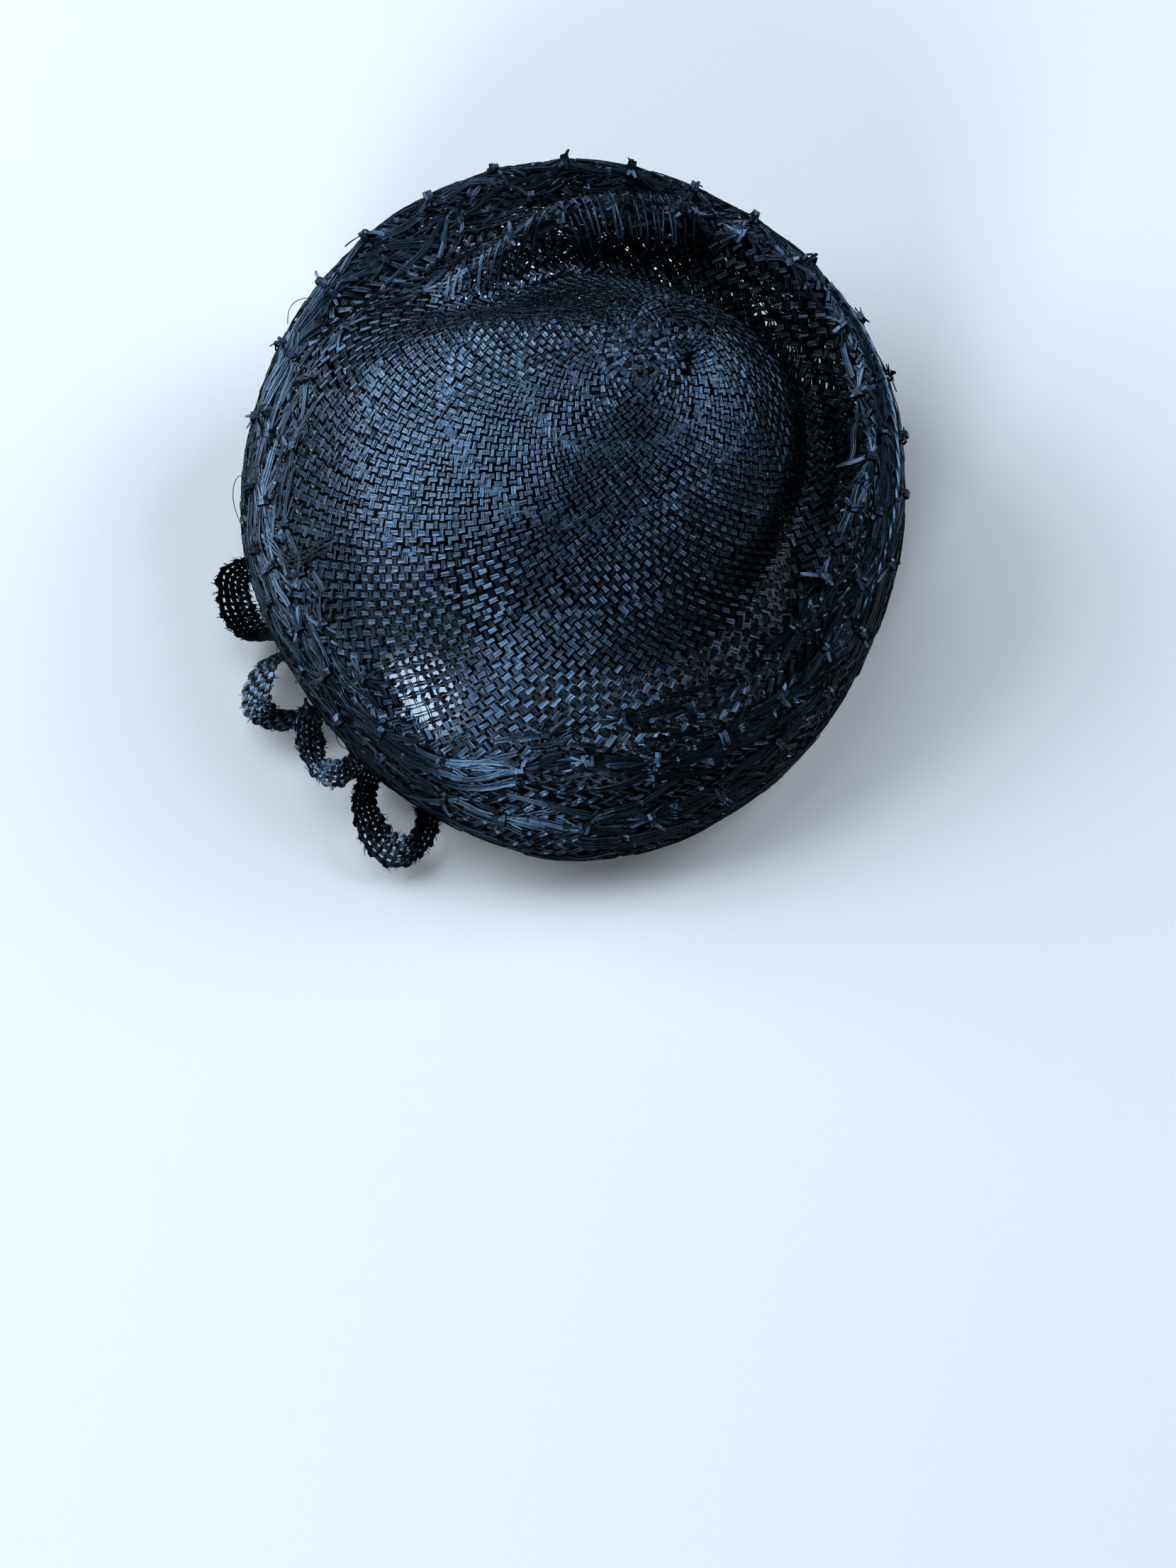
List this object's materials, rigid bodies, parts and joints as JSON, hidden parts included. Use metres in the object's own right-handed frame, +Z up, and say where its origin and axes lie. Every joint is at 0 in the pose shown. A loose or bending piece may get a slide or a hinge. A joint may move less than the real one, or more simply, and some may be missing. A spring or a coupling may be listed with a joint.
{
  "type": "straw hat",
  "caption": "Black woven straw hat: domed swirl crown with a raised fold, an outer band turned up in front, and ribbon loops at the back of one side.",
  "frame": {"origin": "under the middle of the whole hat's bounding box, on the plane that the hat rests on", "axes": "+Z up through the crown, -Y towards the front of the hat, +X towards the side with the ribbon loops"},
  "size_m": [0.25, 0.2494, 0.117],
  "materials": {
    "crown_straw": "glossy woven straw",
    "band_straw": "glossy plaited straw",
    "ribbon_straw": "satin woven straw ribbon"
  },
  "bodies": {
    "root": {"crown": "crown_straw", "brim": "band_straw", "loop_1": "ribbon_straw", "loop_2": "ribbon_straw", "loop_3": "ribbon_straw", "loop_4": "ribbon_straw"}
  },
  "joints": []
}
